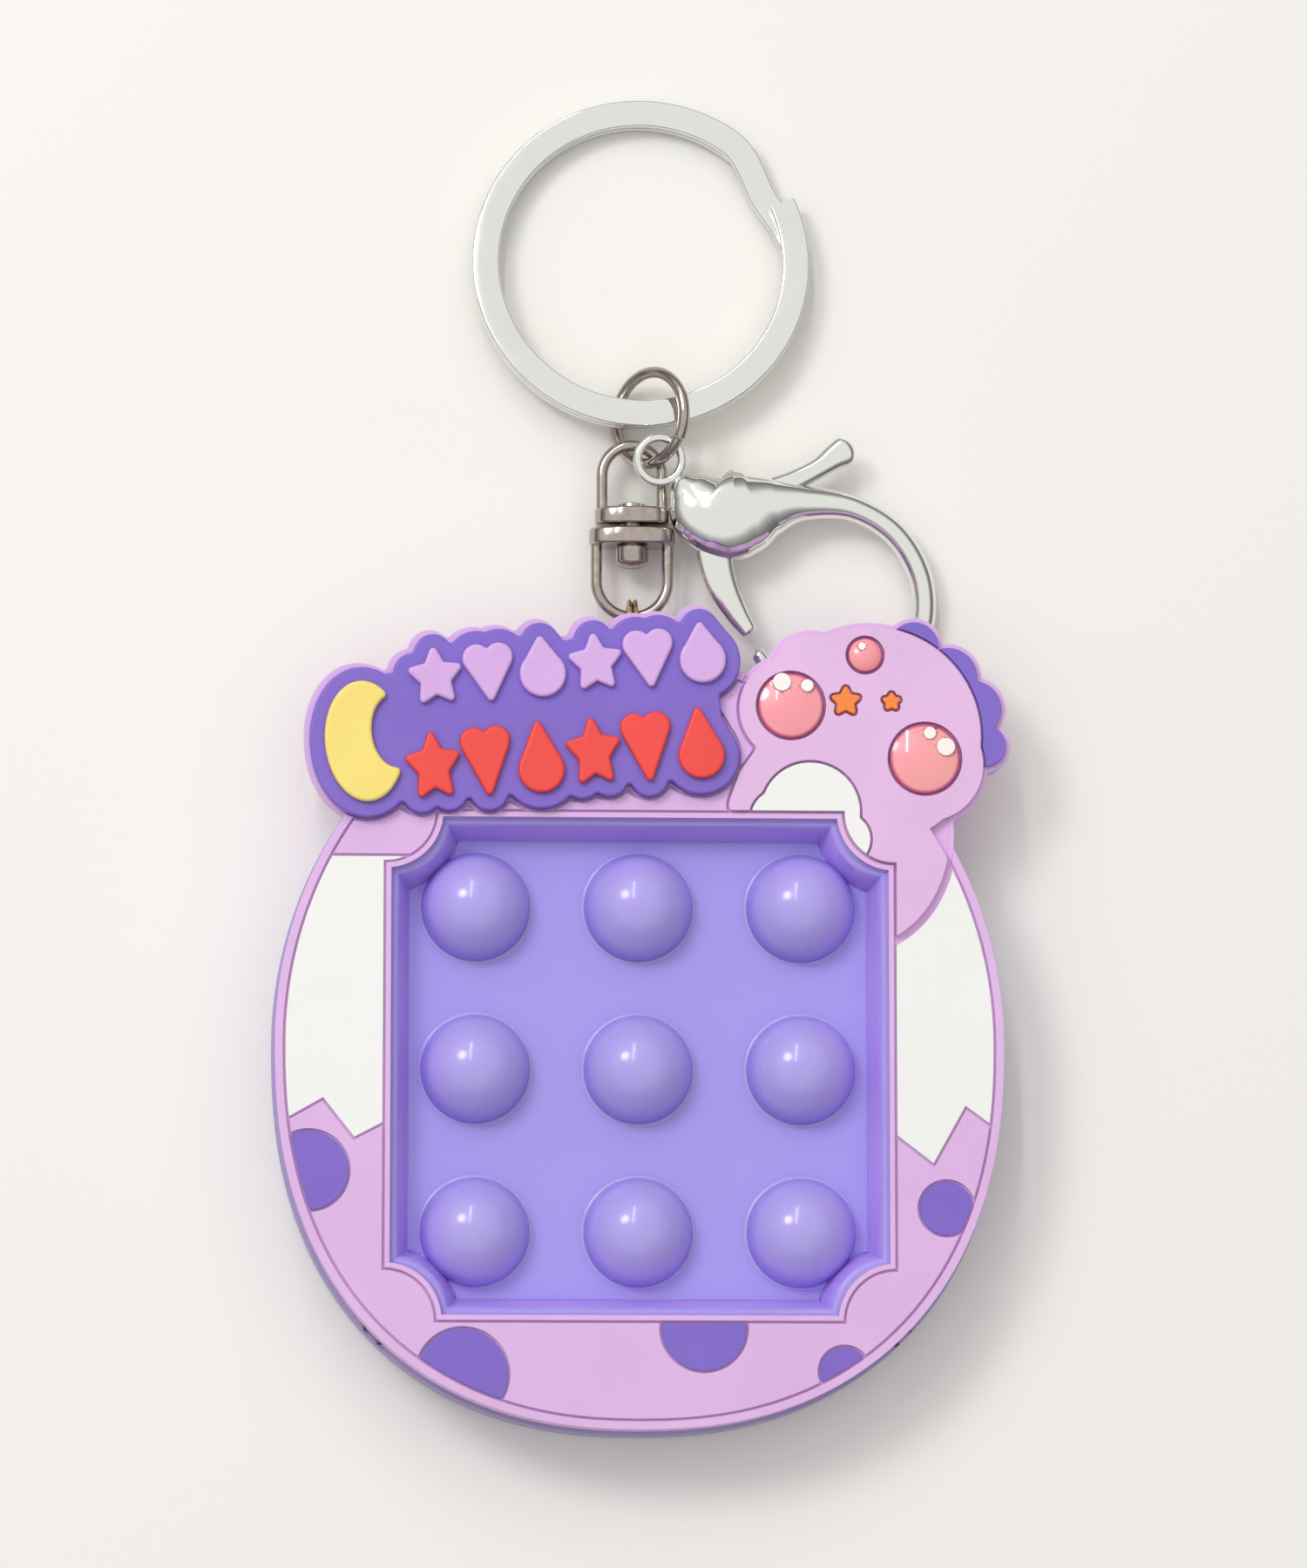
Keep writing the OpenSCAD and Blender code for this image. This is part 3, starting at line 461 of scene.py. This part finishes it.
# inward distance from the window's outline, and height: in the groove, up the wall, over its lip and
# down behind it
WALL = [(FLOOR_INSET, FLOOR_Z - 0.4), (FLOOR_INSET, FLOOR_Z), (1.56, FLOOR_Z - 0.06), (1.51, FLOOR_Z - 0.06),
        (1.47, FLOOR_Z + 0.04), (1.4, FLOOR_Z + 0.3), (1.0, 6.9), (0.62, 8.5), (0.5, 8.62), (0.42, 8.66),
        (0.3, 8.68), (0.2, 8.7), (0.1, 8.85), (0.03, 9.0), (0.0, 9.02), (-0.01, 9.02), (-0.01, FLOOR_Z - 0.4)]
wall_rings = []
for inward, height in WALL:
    half = WINDOW_HALF - inward
    ring = bitten_outline(half, WINDOW_BITE * half / WINDOW_HALF)
    wall_rings.append(np.column_stack([ring, np.full(len(ring), height)]))
wall = surface("mat_wall", wall_rings, wrap_rows=True)


def floor_cell(column, row, height, half, bite):
    """A bubble's share of the floor: rays from its foot circle out to the nearest of the lines halfway
    to its neighbours, the floor's sides and the round bites, with a few rings between."""
    centre = (column * PITCH, row * PITCH)
    corner = half - PITCH
    even = np.linspace(0, 2 * np.pi, AROUND, endpoint=False)
    special = np.arctan2([corner, PITCH / 2, PITCH / 2, corner], [PITCH / 2, corner, PITCH / 2, corner])
    quarters = [(special + t) % (2 * np.pi) for t in np.arange(4) * np.pi / 2]
    a = np.unique(np.round(np.concatenate([even, *quarters]), 6))
    d = np.stack([np.cos(a), np.sin(a)], -1)
    reach = np.full(len(a), np.inf)
    for axis, index in ((0, column), (1, row)):
        for sign in (-1, 1):
            limit = sign * half if index == sign else centre[axis] + sign * PITCH / 2
            with np.errstate(divide="ignore"):
                t = (limit - centre[axis]) / d[:, axis]
            reach = np.where((d[:, axis] * sign > 1e-9) & (t < reach), t, reach)
    middle = half + BITE_OUTSIDE * bite
    for sx in (-1, 1):
        for sy in (-1, 1):
            offset = np.array(centre) - np.array([sx * middle, sy * middle])
            b = d @ offset
            under = b**2 - (offset @ offset - bite**2)
            t = -b - np.sqrt(np.maximum(under, 0))
            reach = np.where((under > 0) & (t > 0) & (t < reach), t, reach)
    share = np.linspace(0, 1, 5)[:, None]
    r = FOOT_R + (np.maximum(reach, FOOT_R) - FOOT_R)[None, :] * share
    points = np.array(centre) + r[..., None] * d[None]
    return np.dstack([points, np.full(points.shape[:2], height)])


cells = []
floor_bite = WINDOW_BITE * FLOOR_HALF / WINDOW_HALF
for row in (-1, 0, 1):
    for column in (-1, 0, 1):
        top_cell = floor_cell(column, row, FLOOR_Z, FLOOR_HALF, floor_bite)
        under_cell = floor_cell(column, row, FLOOR_Z - SHEET, UNDER_HALF, UNDER_BITE)
        cells.append(surface("cell", top_cell))
        cells.append(surface("cell", under_cell))
mat = joined("silicone_mat", [wall, *cells], 34)
finish_piece(mat, purple_silicone, "toy", "silicone", "bubble_mat")

# ---------- Bubbles ----------
# Nine hollow domes moulded in the mat's thin sheet. A press turns a dome inside out. Each dome is drawn
# standing, from the mat at its foot to its crown at its top.
DOME_R, DOME_WALL = 4.75, 0.55
DOME_MIDDLE = TOP_Z - DOME_R
FOOT_FILLET = 0.18


def dome_profile():
    """Radius and height from the foot up the outside, over the pole and down the inside: a quarter
    circle between the floor and the sphere, the sphere, and a smaller sphere within it."""
    a = np.arccos((FLOOR_Z + FOOT_FILLET - DOME_MIDDLE) / (DOME_R + FOOT_FILLET))
    fillet_middle = np.array([(DOME_R + FOOT_FILLET) * np.sin(a), FLOOR_Z + FOOT_FILLET])
    end = np.arctan2(DOME_MIDDLE - fillet_middle[1], -fillet_middle[0])
    end = end - 2 * np.pi if end > 0 else end
    sweep = np.linspace(-np.pi / 2, end, 9)
    fillet = fillet_middle + FOOT_FILLET * np.stack([np.cos(sweep), np.sin(sweep)], -1)
    outer_a = np.linspace(a, 0, 40)
    outer = np.stack([DOME_R * np.sin(outer_a), DOME_MIDDLE + DOME_R * np.cos(outer_a)], -1)
    inner_r = DOME_R - DOME_WALL
    low = np.arccos((FLOOR_Z - SHEET - DOME_MIDDLE) / inner_r)
    inner_a = np.linspace(0, low, 30)
    inner = np.stack([inner_r * np.sin(inner_a), DOME_MIDDLE + inner_r * np.cos(inner_a)], -1)
    foot = np.array([[FOOT_R, FLOOR_Z - SHEET], [FOOT_R, FLOOR_Z]])
    return np.concatenate([foot, fillet, outer[1:], inner])


profile = dome_profile()
around = np.linspace(0, 2 * np.pi, AROUND, endpoint=False)
# The domes' steep sides are painted darker than their tops: painted shade round each dome.
bubble_silicone = silicone("purple_silicone_domes", "#b3a5ee", "#7a5cd2",
                           steep_z=0.05, flat_z=0.55, roughness=0.22, polish=0.5)
for i in range(1, 10):
    low, high = box_mm(f"bubble_crown_{i}")
    x, y, _ = (low + high) / 2
    radius, z = profile[:, :1], profile[:, 1:]
    levels = np.broadcast_to(z, (len(radius), AROUND))
    grid = np.dstack([x + radius * np.cos(around), y + radius * np.sin(around), levels])
    dome = surface(f"bubble_dome_{i}", grid, wrap_rows=True)
    dome.data.materials.append(bubble_silicone)
    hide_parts(f"bubble_crown_{i}")
    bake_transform(dome)

# ---------- Tab ring ----------
# A small double-turn ring of brass-plated wire through the body's tab: two strands side by side.


def plated(name, colour, roughness, scratch_mm=1.2, depth_mm=0.004, dark=None):
    """Plated metal: a mirror broken by faint polishing marks and a slow change in roughness."""
    material, tree = new_material(name)
    place = add_node(tree, "ShaderNodeTexCoord")
    wear = add_node(tree, "ShaderNodeTexNoise", [("Vector", place, "Object")],
                    {"Scale": 1 / (scratch_mm * MM), "Detail": 4.0})
    sheen = add_node(tree, "ShaderNodeMapRange", [("Value", wear, "Fac")],
                     {"To Min": max(roughness - 0.04, 0.02), "To Max": roughness + 0.06})
    base = linear(colour)
    tone = add_node(tree, "ShaderNodeValToRGB", [("Fac", wear, "Fac")])
    tone.color_ramp.elements[0].color = linear(dark) if dark else (*[c * 0.93 for c in base[:3]], 1)
    tone.color_ramp.elements[1].color = base
    bump = add_node(tree, "ShaderNodeBump", [("Height", wear, "Fac")],
                    {"Strength": 0.25, "Distance": depth_mm * MM})
    metal = add_node(tree, "ShaderNodeBsdfPrincipled",
                     [("Base Color", tone, "Color"), ("Roughness", sheen, "Result"),
                      ("Normal", bump, "Normal")],
                     {"Metallic": 1.0})
    add_node(tree, "ShaderNodeOutputMaterial", [("Surface", metal, "BSDF")])
    return material


def carried(path, across, along, normal, closed=True):
    """A profile carried along a path: point = path + side * across + normal * along, with side square
    to the path's direction and to the normal."""
    path = np.asarray(path, float)
    normal = np.broadcast_to(np.asarray(normal, float), path.shape)
    step = np.roll(path, -1, 0) - np.roll(path, 1, 0) if closed else np.gradient(path, axis=0)
    side = np.cross(step, normal)
    side /= np.linalg.norm(side, axis=1)[:, None]
    across = np.broadcast_to(across, (len(path), np.shape(across)[-1]))
    along = np.broadcast_to(along, (len(path), np.shape(along)[-1]))
    return path[:, None] + side[:, None] * across[..., None] + normal[:, None] * along[..., None]


def wire_round(wire, sides=28):
    """Circle of the wire's diameter, as across and along."""
    a = np.linspace(0, 2 * np.pi, sides, endpoint=False)
    return wire / 2 * np.cos(a), wire / 2 * np.sin(a)


def rounded_bar(width, height, corner, per=5):
    """Rectangle with rounded corners: four quarter circles, as across and along."""
    a = np.concatenate([np.linspace(q, q + 90, per) for q in (0, 90, 180, 270)])
    sx = np.repeat([1, -1, -1, 1], per) * (width / 2 - corner)
    sy = np.repeat([1, 1, -1, -1], per) * (height / 2 - corner)
    return sx + corner * np.cos(np.radians(a)), sy + corner * np.sin(np.radians(a))


low, high = box_mm("tab_ring")
ring_middle = (low + high) / 2
ring_wire = high[0] - low[0]
ring_r = (high[1] - low[1] - ring_wire) / 2
TALL_OVER_WIDE = 1.7
turn = np.linspace(0, 2 * np.pi, 120, endpoint=False)
across, along = wire_round(ring_wire / 2, 20)
strands = []
for side in (-1, 1):
    beside = np.full(len(turn), side * ring_wire / 4)
    path = ring_middle + np.stack([beside, ring_r * np.cos(turn), ring_r * np.sin(turn)], -1)
    wire = carried(path, across * TALL_OVER_WIDE, along, (1, 0, 0))
    strands.append(surface("strand", wire, wrap_rows=True))
brass = plated("brass_plated_wire", "#d3bd93", 0.2)
finish_piece(joined("tab_ring_strands", strands), brass, "tab_ring", "ring_brass", "tab_ring")

# ---------- Swivel ----------
# Two bent wire loops, each brazed to a thick oval washer. A rivet with a flat head holds the two
# washers together and lets them turn. Zinc casting with a dark nickel plating.
nickel = plated("dark_nickel_plating", "#c6bcb4", 0.13, scratch_mm=0.8, depth_mm=0.006, dark="#9c928b")
spin = np.array(joints["swivel_spin"]["pos_m"]) / MM
LOOP_WIRE = 1.0
PLATE, PLATE_HALF_DEPTH, PLATE_RIM = 1.5, 2.2, 0.28
PLATE_POWER = 2.6


def oval_washer(y, thick, half_w, half_d):
    """Superellipse plate with rounded rims: its outline drawn in by an inset that follows a rounded
    bar's profile up one side and back."""
    a = np.linspace(0, 2 * np.pi, AROUND, endpoint=False)
    outline = np.stack([half_w * np.sign(np.cos(a)) * np.abs(np.cos(a)) ** (2 / PLATE_POWER),
                        half_d * np.sign(np.sin(a)) * np.abs(np.sin(a)) ** (2 / PLATE_POWER)], -1)
    rim = PLATE_RIM
    middle = [2.0]
    q = np.linspace(0, np.pi / 2, 6)
    inset = np.concatenate([middle, rim * (1 - np.sin(q)), rim * (1 - np.cos(q)), middle])
    level = np.concatenate([[0], rim * (1 - np.cos(q)), thick - rim + rim * np.sin(q), [thick]])
    rows = []
    for inward, up in zip(inset, level):
        share = 1 - inward / np.array([half_w, half_d])
        rows.append(np.column_stack([spin[0] + outline[:, 0] * share[0], np.full(AROUND, y + up),
                                     spin[2] + outline[:, 1] * share[1]]))
    return surface("washer", rows, ends=True, sharp_degrees=50)


def bent_loop(name, node, arc_up):
    """Wire along two straight arms and the half circle that joins them, with its ends in the washer."""
    low, high = box_mm(node)
    half_w = (high[0] - low[0]) / 2
    wire_half = half_w - 0.65 * LOOP_WIRE
    plate_low = low[1] if arc_up else high[1] - PLATE
    tip = high[1] if arc_up else low[1]
    sign = 1 if arc_up else -1
    arc_y = tip - sign * (wire_half + LOOP_WIRE / 2)
    arm = np.linspace(plate_low + PLATE / 2, arc_y, 14)[:-1]
    t = np.linspace(0, np.pi, 49)
    arc = np.stack([wire_half * np.cos(t), arc_y + sign * wire_half * np.sin(t)], -1)
    flat = np.concatenate([np.column_stack([np.full(len(arm), wire_half), arm]), arc,
                           np.column_stack([np.full(len(arm), -wire_half), arm[::-1]])])
    path = np.column_stack([flat[:, 0] + spin[0], flat[:, 1], np.full(len(flat), spin[2])])
    across, along = wire_round(LOOP_WIRE)
    wire = surface("wire", carried(path, across, along, (0, 0, 1), closed=False), ends=True)
    washer = oval_washer(plate_low, PLATE, half_w, PLATE_HALF_DEPTH)
    return joined(name, [wire, washer], 50)


for half in ("lower", "upper"):
    loop = bent_loop(f"swivel_{half}_bent_loop", f"swivel_{half}_loop", arc_up=half == "upper")
    finish_piece(loop, nickel, f"swivel_{half}", "dark_nickel", f"swivel_{half}_loop")


def turned(name, profile, middle):
    """Profile of radius and height turned about an axis along Y through `middle`."""
    a = np.linspace(0, 2 * np.pi, 64, endpoint=False)
    r, h = np.array(profile, float).T[:, :, None]
    zero = np.zeros_like(a)
    grid = np.stack([r * np.cos(a), h + zero, r * np.sin(a)], -1)
    return surface(name, grid + np.array([middle[0], 0, middle[2]]), sharp_degrees=40)


HEAD_H, HEAD_R, SHANK_R = 1.8, 1.45, 1.0
b, t = [corner[1] for corner in box_mm("swivel_rivet")]
rivet = turned("swivel_rivet_turned", [
    (0, b), (HEAD_R - 0.45, b), (HEAD_R - 0.08, b + 0.3), (HEAD_R, b + 0.5), (HEAD_R, b + HEAD_H - 0.1),
    (HEAD_R - 0.1, b + HEAD_H), (SHANK_R, b + HEAD_H), (SHANK_R, t - 0.55), (SHANK_R + 0.25, t - 0.5),
    (SHANK_R + 0.22, t - 0.2), (SHANK_R - 0.2, t - 0.03), (0, t)], spin)
finish_piece(rivet, nickel, "swivel_upper", "dark_nickel", "swivel_rivet")

# ---------- Jump ring ----------
# Round steel wire bent into one turn and nipped shut, so that a fine slit stays where its ends meet.
low, high = box_mm("jump_ring")
JUMP_WIRE, JUMP_TILT = 1.0, radians(46)
middle = (low + high) / 2
jump_r = (high[1] - low[1] - JUMP_WIRE) / 2
SLIT, SLIT_AT, NIP = radians(1.2), radians(-32), 0.09
t = np.linspace(SLIT, 2 * np.pi - SLIT, 160) + SLIT_AT
axis_x = np.array([np.cos(JUMP_TILT), 0, np.sin(JUMP_TILT)])
normal = np.array([-np.sin(JUMP_TILT), 0, np.cos(JUMP_TILT)])
nip = NIP * np.linspace(-1, 1, len(t))[:, None] ** 5 * normal
path = middle + jump_r * (np.cos(t)[:, None] * axis_x + np.sin(t)[:, None] * np.array([0, 1, 0])) + nip
across, along = wire_round(JUMP_WIRE)
wire = carried(path, across, along, normal, closed=False)
ring = surface("jump_ring_wire", wire, ends=True, sharp_degrees=60)
finish_piece(ring, nickel, "jump_ring", "dark_nickel", "jump_ring")

# ---------- Split ring ----------
# Flat spring-steel wire coiled into two turns: the top turn dips inward and steps down beside its own
# cut end, and carries on under itself as the lower one. Pressed edges, bright plating.
chrome = plated("bright_chrome_plating", "#eeefeb", 0.07, scratch_mm=2.5, depth_mm=0.004)
low, high = box_mm("split_ring")
middle = (low + high) / 2
SPLIT_W, SPLIT_T, SPLIT_R = 2.4, 0.93, 15.0
SPLIT_LEAN = radians(-3.885)
STEP_START, STEP_END, COIL_END, FIRST_ANGLE = 334, 358, 698, 24
DIP, DIP_AT, DIP_REACH = 1.1, 354, 26
SPLIT_EDGE, TURN_GAP = 0.2, 0.04
COIL_PITCH = SPLIT_T + TURN_GAP
a = np.linspace(0, COIL_END, 700)
s = np.clip((a - STEP_START) / (STEP_END - STEP_START), 0, 1)
height = COIL_PITCH * (0.5 - s * s * (3 - 2 * s))
near_cut = np.clip(1 - np.abs(a - DIP_AT) / DIP_REACH, 0, 1)
radius = SPLIT_R - SPLIT_W / 2 - DIP * near_cut**2 * (3 - 2 * near_cut)
angle = np.radians(FIRST_ANGLE - a)
flat = np.stack([radius * np.cos(angle), radius * np.sin(angle), height], -1)
lean_cos, lean_sin = np.cos(SPLIT_LEAN), np.sin(SPLIT_LEAN)
lean = np.array([[1, 0, 0], [0, lean_cos, -lean_sin], [0, lean_sin, lean_cos]])
across, along = rounded_bar(SPLIT_W, SPLIT_T, SPLIT_EDGE)
coil = carried(flat, across, along, (0, 0, 1), closed=False) @ lean.T + middle
split = surface("split_ring_coil", coil, ends=True, sharp_degrees=50)
finish_piece(split, chrome, "split_ring", "bright_chrome", "split_ring")

# ---------- Clasp body ----------
# Cast zinc lobster clasp with bright plating: a flat eye, a swollen body and a hook that tapers to
# its tip. The casting is drawn closed, without the slot that takes the lever.
eye = np.array(joints["clasp_swing"]["pos_m"]) / MM
clasp_z = np.array(joints["clasp_swing"]["axis"])
pin = np.array(joints["clasp_lever_open"]["pos_m"]) / MM
PIN_AT = np.array([5.2, -5.0])
HOOK_AT, HOOK_R = np.array([14.9, -12.5]), 8.9
toward_pin = (pin - eye) / np.linalg.norm(pin - eye)
beside = np.cross(clasp_z, toward_pin)
angle = np.arctan2(PIN_AT[1], PIN_AT[0])
clasp_x = toward_pin * np.cos(angle) - beside * np.sin(angle)
clasp_y = toward_pin * np.sin(angle) + beside * np.cos(angle)
to_row = np.stack([clasp_x, clasp_y, clasp_z])


def smooth_stations(stations, per):
    """Catmull-Rom curve through rows of [x, y, half width, half thickness], `per` points to a span."""
    p = np.concatenate([stations[:1], stations, stations[-1:]])
    t = np.linspace(0, 1, per, endpoint=False)[None, :, None]
    a, b, c, d = (p[i : i + len(stations) - 1, None] for i in range(4))
    curve = 0.5 * (2 * b + (c - a) * t + (2 * a - 5 * b + 4 * c - d) * t**2 + (3 * b - a - 3 * c + d) * t**3)
    return np.concatenate([curve.reshape(-1, stations.shape[1]), stations[-1:]])


def oval_sweep(name, stations, per=10, sides=56, power=2.0, round_ends=(0.5, 0.5)):
    """Superellipses across a flat path, half width in its plane and half thickness across it. At each end
    they shrink as the square root of the distance left, which rounds it."""
    line = smooth_stations(np.array(stations, float), per)
    run = np.concatenate([[0], np.cumsum(np.linalg.norm(np.diff(line[:, :2], axis=0), axis=1))])
    for end, reach in ((0, round_ends[0]), (1, round_ends[1])):
        left = run if end == 0 else run[-1] - run
        share = np.clip(left / reach, 0, 1)
        line[:, 2:] *= np.sqrt(np.clip(share * (2 - share), 0, 1))[:, None]
    a = np.linspace(0, 2 * np.pi, sides, endpoint=False)
    ca = np.sign(np.cos(a)) * np.abs(np.cos(a)) ** (2 / power)
    sa = np.sign(np.sin(a)) * np.abs(np.sin(a)) ** (2 / power)
    step = np.gradient(line[:, :2], axis=0)
    step /= np.linalg.norm(step, axis=1)[:, None]
    side = np.stack([-step[:, 1], step[:, 0]], -1)
    grid = np.empty((len(line), sides, 3))
    grid[..., :2] = line[:, None, :2] + side[:, None] * (line[:, 2:3] * ca)[..., None]
    grid[..., 2] = line[:, 3:4] * sa
    return surface(name, grid @ to_row + eye, ends=True, sharp_degrees=60)


def on_hook(degrees, r):
    """Point of the hook's circle at an angle and a radius, in the clasp's own plane."""
    return [HOOK_AT[0] + r * np.cos(radians(degrees)), HOOK_AT[1] + r * np.sin(radians(degrees))]


# x, y, half width, half thickness
BODY = [[1.75, -1.35, 0.5, 0.55], [2.5, -2.5, 2, 1.35], [3.9, -4, 3.45, 2.15], [6, -4.75, 4.1, 2.5],
        [8, -4.5, 3.7, 2.35], [10.2, -3.9, 2.6, 1.9], [13, -3.55, 1.6, 1.45]]
# angle on the hook's circle, distance outside it, half width, half thickness
HOOK = [[74, 0, 1.16, 1.2], [45, 0, 1.1, 1.15], [15, 0, 1.08, 1.15], [-15, 0, 1.05, 1.1],
        [-45, -0.25, 1, 1.05], [-75, -0.7, 0.9, 0.95], [-105, -1.05, 0.78, 0.85],
        [-128, -1.25, 0.7, 0.75], [-146, -1.35, 0.62, 0.65]]
along_hook = [[*on_hook(degrees, HOOK_R + out), wide, thick] for degrees, out, wide, thick in HOOK]
body = oval_sweep("clasp_cast", BODY + along_hook, per=14, sides=72, round_ends=(0.4, 0.6))
EYE_R, EYE_HOLE_R, EYE_T, EYE_EDGE = 2.35, 1.6, 1.2, 0.3
eye_mid_r = (EYE_R + EYE_HOLE_R) / 2
t = np.linspace(0, 2 * np.pi, AROUND, endpoint=False)
path = np.stack([eye_mid_r * np.cos(t), eye_mid_r * np.sin(t), 0 * t], -1)
across, along = rounded_bar(EYE_R - EYE_HOLE_R, EYE_T, EYE_EDGE)
eye_ring = surface("eye", carried(path, across, along, (0, 0, 1)) @ to_row + eye, wrap_rows=True)
clasp_shell = joined("clasp_cast_body", [body, eye_ring], 60)
finish_piece(clasp_shell, chrome, "clasp", "bright_chrome", "clasp_body")

# ---------- Clasp lever, pin and spring ----------
# One casting with a thumb end and a gate end, turning on a pin inside the body. A coil of fine wire
# in its hub pushes the gate shut.
LEVER = [[17.35, 1.65, 0.9, 0.85], [16.6, 1.2, 1.3, 0.85], [15.6, 0.6, 1.15, 0.85],
         [14.2, -0.4, 0.92, 0.85], [12.2, -1.5, 0.95, 0.85], [9, -3, 1.2, 0.85],
         [5.6, -5, 1.6, 0.85], [4.9, -7.2, 1.6, 0.85], [5.2, -9.6, 1.5, 0.85],
         [5.9, -11.6, 1.32, 0.85], [7.0, -13.6, 1.05, 0.85], [8.25, -15.35, 0.72, 0.8]]
lever = oval_sweep("clasp_lever_cast", LEVER, per=12, sides=48, power=2.6, round_ends=(0.9, 0.5))
finish_piece(lever, chrome, "clasp_lever", "bright_chrome", "clasp_lever")
for node, material, slot in (("clasp_pin", chrome, "bright_chrome"), ("clasp_spring", nickel, "dark_nickel")):
    item = frame["nodes"][node]
    item.data.materials.clear()
    item.data.materials.append(material)
